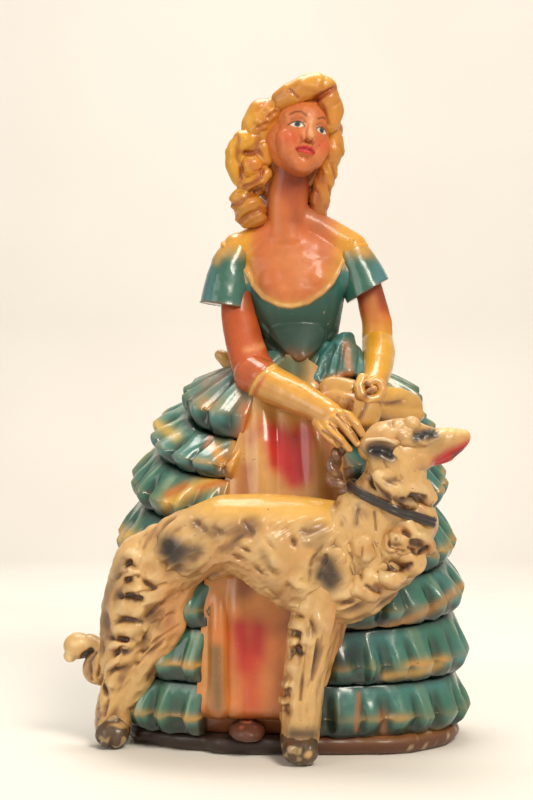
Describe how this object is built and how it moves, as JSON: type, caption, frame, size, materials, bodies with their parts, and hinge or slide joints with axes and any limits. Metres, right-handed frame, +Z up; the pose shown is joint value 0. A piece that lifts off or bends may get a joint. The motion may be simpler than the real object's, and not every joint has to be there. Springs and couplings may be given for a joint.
{
  "type": "chalkware figure",
  "caption": "Free-standing hollow-cast plaster figure of a lady in a flounced ball gown with a long-haired hound standing across her front.",
  "frame": {"origin": "on the table, at the middle of the flat base under the axis of the gown", "axes": "+Z up, the lady faces -Y, and +X is to the right as seen from her front"},
  "size_m": [0.2329, 0.158, 0.3796],
  "materials": {
    "bare_plaster": "matt bare plaster",
    "painted_plaster": "airbrushed paint under gloss varnish",
    "skin_paint": "airbrushed paint under gloss varnish",
    "glove_paint": "airbrushed paint under gloss varnish",
    "hair_paint": "airbrushed paint under gloss varnish",
    "hound_paint": "airbrushed paint under gloss varnish",
    "dark_paint": "airbrushed paint under gloss varnish"
  },
  "bodies": {
    "root": {"arm_left": "skin_paint", "arm_right": "skin_paint", "base": "bare_plaster", "bodice": "painted_plaster", "chest_and_neck": "skin_paint", "flounce_1": "painted_plaster", "flounce_2": "painted_plaster", "flounce_3": "painted_plaster", "flounce_4": "painted_plaster", "flounce_5": "painted_plaster", "flounce_6": "painted_plaster", "flounce_7": "painted_plaster", "front_panel": "painted_plaster", "gathered_cloth": "glove_paint", "glove_left": "glove_paint", "glove_right": "glove_paint", "hair_back": "hair_paint", "hair_crown": "hair_paint", "hair_curls_left": "hair_paint", "hair_curls_right": "hair_paint", "hair_front_roll": "hair_paint", "hand_left": "glove_paint", "hand_right": "glove_paint", "head": "skin_paint", "hound_body": "hound_paint", "hound_collar": "dark_paint", "hound_ear": "dark_paint", "hound_front_leg": "hound_paint", "hound_front_paw": "hound_paint", "hound_head": "hound_paint", "hound_hind_leg": "hound_paint", "hound_hind_paw": "hound_paint", "hound_leash": "dark_paint", "hound_mane": "hound_paint", "hound_neck": "hound_paint", "hound_tail": "hound_paint", "pour_hole_plug": "bare_plaster", "sash_end": "glove_paint", "shoe": "painted_plaster", "sleeve_left": "painted_plaster", "sleeve_right": "painted_plaster", "waist_ruffle": "painted_plaster"}
  },
  "joints": []
}
